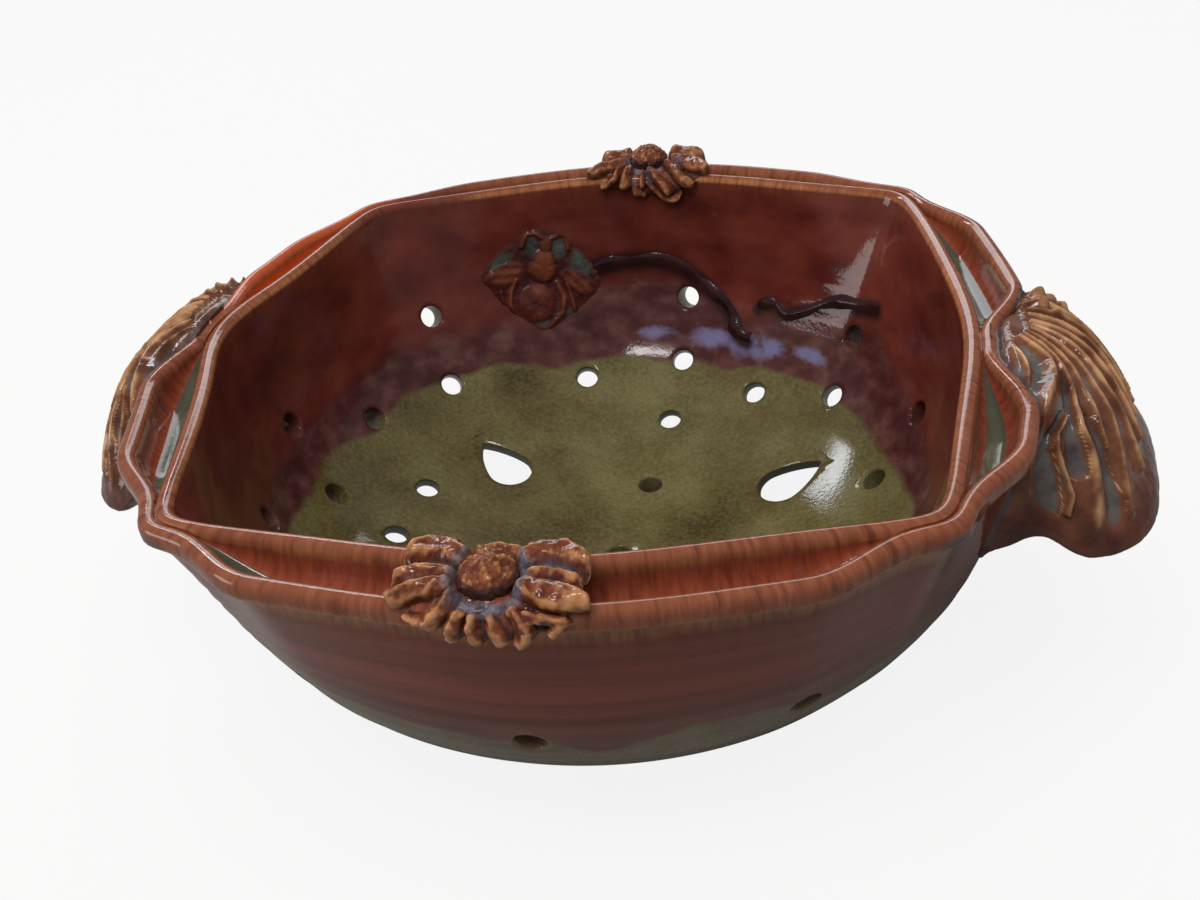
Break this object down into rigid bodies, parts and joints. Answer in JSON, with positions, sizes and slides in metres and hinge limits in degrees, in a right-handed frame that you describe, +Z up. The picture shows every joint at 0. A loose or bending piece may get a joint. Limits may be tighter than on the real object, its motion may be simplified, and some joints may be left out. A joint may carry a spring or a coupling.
{
  "type": "berry bowl",
  "caption": "Squared stoneware berry bowl with a split lobed rim, drain holes, a fluted wing handle on each side, flowers over the rim and a bee relief inside.",
  "frame": {"origin": "middle of the foot ring, on the table", "axes": "+Z up, +X to the right handle, -Y to the front flower"},
  "size_m": [0.2633, 0.2204, 0.0907],
  "materials": {
    "burgundy_glaze": "glossy burgundy glaze breaking to amber on the lips, running to dark olive green on the floor",
    "slate_handle_glaze": "glossy slate grey pooled in the flutes, amber brown on the ridges",
    "amber_petal_glaze": "glossy amber brown on the petal ridges, grey green pooled between them",
    "flower_centre_glaze": "glossy red brown with amber seed points",
    "teal_bee_glaze": "glossy dark teal pooled round the relief, brown on its high points"
  },
  "bodies": {
    "root": {"bowl_body": "burgundy_glaze", "right_handle": "slate_handle_glaze", "left_handle": "slate_handle_glaze", "front_flower_petals": "amber_petal_glaze", "front_flower_centre": "flower_centre_glaze", "back_flower_petals": "amber_petal_glaze", "back_flower_centre": "flower_centre_glaze", "bee_sprig": "teal_bee_glaze"}
  },
  "joints": []
}
